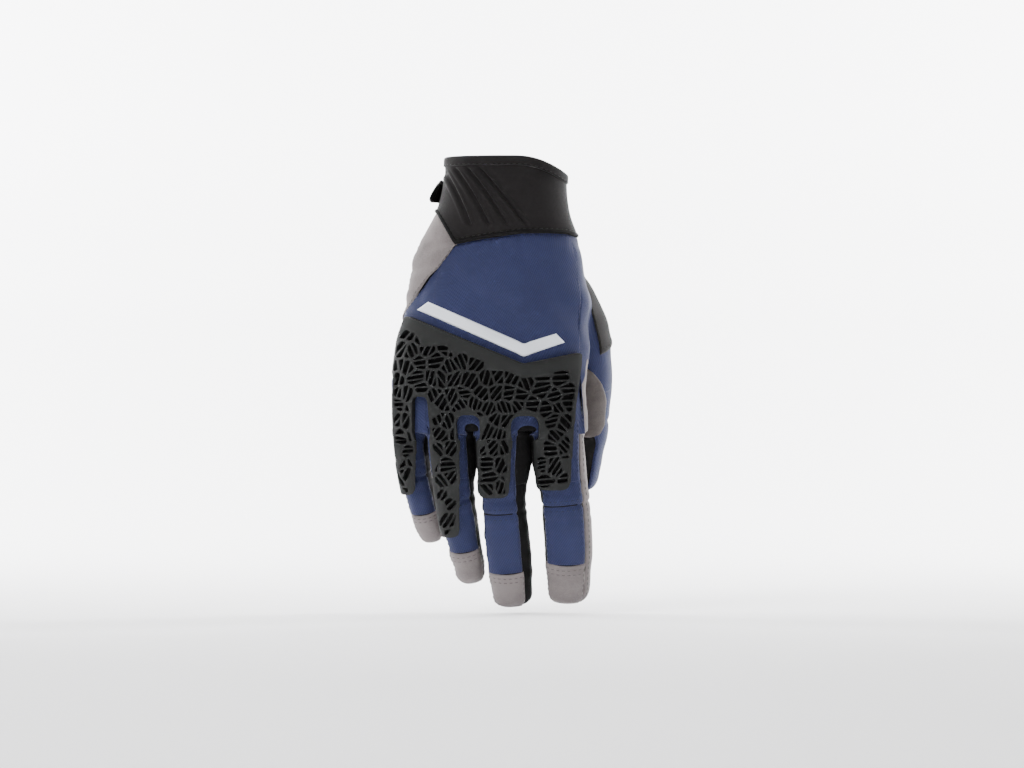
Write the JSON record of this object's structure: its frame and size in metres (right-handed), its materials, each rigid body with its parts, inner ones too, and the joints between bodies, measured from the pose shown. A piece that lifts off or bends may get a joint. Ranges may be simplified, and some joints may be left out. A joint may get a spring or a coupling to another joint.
{
  "type": "sailing glove",
  "caption": "Full-finger sailing glove with a moulded lattice knuckle guard, suede palm, stretch back, neoprene cuff and hook-and-loop wrist strap.",
  "frame": {"origin": "centre of the wrist opening at the cuff's upper edge", "axes": "+Z out of the wrist opening, up the forearm, with the fingers towards -Z; the back of the hand faces -Y and the thumb is on the +X side"},
  "size_m": [0.1134, 0.078, 0.231],
  "materials": {
    "back_stretch": "heathered blue four-way stretch twill",
    "palm_suede": "grey synthetic suede",
    "side_stretch": "black stretch knit",
    "fold_stretch": "folded stretch cloth at a joint",
    "patch_suede": "dark grey embossed suede reinforcement",
    "guard_rubber": "matte black moulded rubber",
    "reflective_film": "silver reflective transfer film",
    "cuff_neoprene": "black laminated neoprene, debossed",
    "loop_pile": "black loop pile",
    "hook_tape": "black hook tape",
    "tab_rubber": "black moulded pull tab"
  },
  "bodies": {
    "hand": {"back_panel": "back_stretch", "heel_panel": "palm_suede", "palm_panel": "palm_suede", "webs": "side_stretch", "finger_roots": "side_stretch", "thumb_root": "palm_suede", "root_folds": "fold_stretch", "palm_patch": "patch_suede", "reflective_stripe": "reflective_film", "guard_plate": "guard_rubber", "cuff": "cuff_neoprene", "cuff_hem": "cuff_neoprene", "loop_pad": "loop_pile", "thumb_patch": "patch_suede"},
    "index": {"index_back": "back_stretch", "index_palm": "palm_suede", "index_sides": "side_stretch", "index_fold": "fold_stretch", "guard_index": "guard_rubber"},
    "index_tip": {"index_lower_back": "back_stretch", "index_lower_palm": "palm_suede", "index_lower_sides": "side_stretch", "index_tip_patch": "palm_suede"},
    "middle": {"middle_back": "back_stretch", "middle_palm": "palm_suede", "middle_sides": "side_stretch", "middle_fold": "fold_stretch", "guard_middle": "guard_rubber"},
    "middle_tip": {"middle_lower_back": "back_stretch", "middle_lower_palm": "palm_suede", "middle_lower_sides": "side_stretch", "middle_tip_patch": "palm_suede"},
    "ring": {"ring_back": "back_stretch", "ring_palm": "palm_suede", "ring_sides": "side_stretch", "ring_fold": "fold_stretch", "guard_ring": "guard_rubber"},
    "ring_tip": {"ring_lower_back": "back_stretch", "ring_lower_palm": "palm_suede", "ring_lower_sides": "side_stretch", "ring_tip_patch": "palm_suede", "guard_ring_lower": "guard_rubber"},
    "little": {"little_back": "back_stretch", "little_palm": "palm_suede", "little_sides": "side_stretch", "little_fold": "fold_stretch", "guard_little": "guard_rubber"},
    "little_tip": {"little_lower_back": "back_stretch", "little_lower_palm": "palm_suede", "little_lower_sides": "side_stretch", "little_tip_patch": "palm_suede", "guard_little_lower": "guard_rubber"},
    "thumb": {"thumb_back": "back_stretch", "thumb_palm": "palm_suede", "thumb_fold": "fold_stretch"},
    "thumb_tip": {"thumb_tip_back": "back_stretch", "thumb_tip_palm": "palm_suede"},
    "wrist_tab": {"strap": "cuff_neoprene", "hook_pad": "hook_tape", "pull_tab": "tab_rubber"}
  },
  "joints": [
    {"name": "index_knuckle", "type": "hinge", "parent": "hand", "child": "index", "pos_m": [0.0268, 0.0014, -0.151], "axis": [0.9973, 0, 0.0739], "range_deg": [-8, 36], "stiffness_Nm_per_rad": 0.03, "deforming": ["root_folds"]},
    {"name": "index_joint", "type": "hinge", "parent": "index", "child": "index_tip", "pos_m": [0.0296, 0.006, -0.176], "axis": [0.9963, 0, 0.086], "range_deg": [-8, 62], "stiffness_Nm_per_rad": 0.02, "deforming": ["index_fold"]},
    {"name": "middle_knuckle", "type": "hinge", "parent": "hand", "child": "middle", "pos_m": [-0.0032, 0.0008, -0.151], "axis": [0.997, -0.0348, 0.0685], "range_deg": [-8, 75], "stiffness_Nm_per_rad": 0.03, "deforming": ["root_folds"]},
    {"name": "middle_joint", "type": "hinge", "parent": "middle", "child": "middle_tip", "pos_m": [-0.001, 0.0058, -0.18], "axis": [0.9967, -0.0348, 0.0733], "range_deg": [-8, 80], "stiffness_Nm_per_rad": 0.02, "deforming": ["middle_fold"]},
    {"name": "ring_knuckle", "type": "hinge", "parent": "hand", "child": "ring", "pos_m": [-0.029, 0.0042, -0.15], "axis": [0.9948, -0.0696, 0.0737], "range_deg": [-8, 75], "stiffness_Nm_per_rad": 0.03, "deforming": ["root_folds"]},
    {"name": "ring_joint", "type": "hinge", "parent": "ring", "child": "ring_tip", "pos_m": [-0.026, 0.01, -0.173], "axis": [0.9888, -0.0691, 0.1324], "range_deg": [-8, 80], "stiffness_Nm_per_rad": 0.02, "deforming": ["ring_fold"]},
    {"name": "little_knuckle", "type": "hinge", "parent": "hand", "child": "little", "pos_m": [-0.0492, 0.0118, -0.142], "axis": [0.9889, -0.139, 0.0529], "range_deg": [-8, 75], "stiffness_Nm_per_rad": 0.03, "deforming": ["root_folds"]},
    {"name": "little_joint", "type": "hinge", "parent": "little", "child": "little_tip", "pos_m": [-0.0464, 0.0184, -0.161], "axis": [0.9821, -0.138, 0.1284], "range_deg": [-8, 80], "stiffness_Nm_per_rad": 0.02, "deforming": ["little_fold"]},
    {"name": "thumb_spread", "type": "hinge", "parent": "hand", "child": "thumb", "pos_m": [0.0413, 0.0245, -0.1], "axis": [-0.3217, -0.884, -0.3391], "range_deg": [-8, 40], "stiffness_Nm_per_rad": 0.04, "deforming": ["root_folds"]},
    {"name": "thumb_joint", "type": "hinge", "parent": "thumb", "child": "thumb_tip", "pos_m": [0.0412, 0.035, -0.134], "axis": [0.3291, 0.9042, 0.2723], "range_deg": [-10, 55], "stiffness_Nm_per_rad": 0.02, "deforming": ["thumb_fold"]},
    {"name": "strap_peel", "type": "hinge", "parent": "hand", "child": "wrist_tab", "pos_m": [0.0144, 0.0206, -0.0205], "axis": [0, 0, -1], "range_deg": [0, 90]}
  ]
}
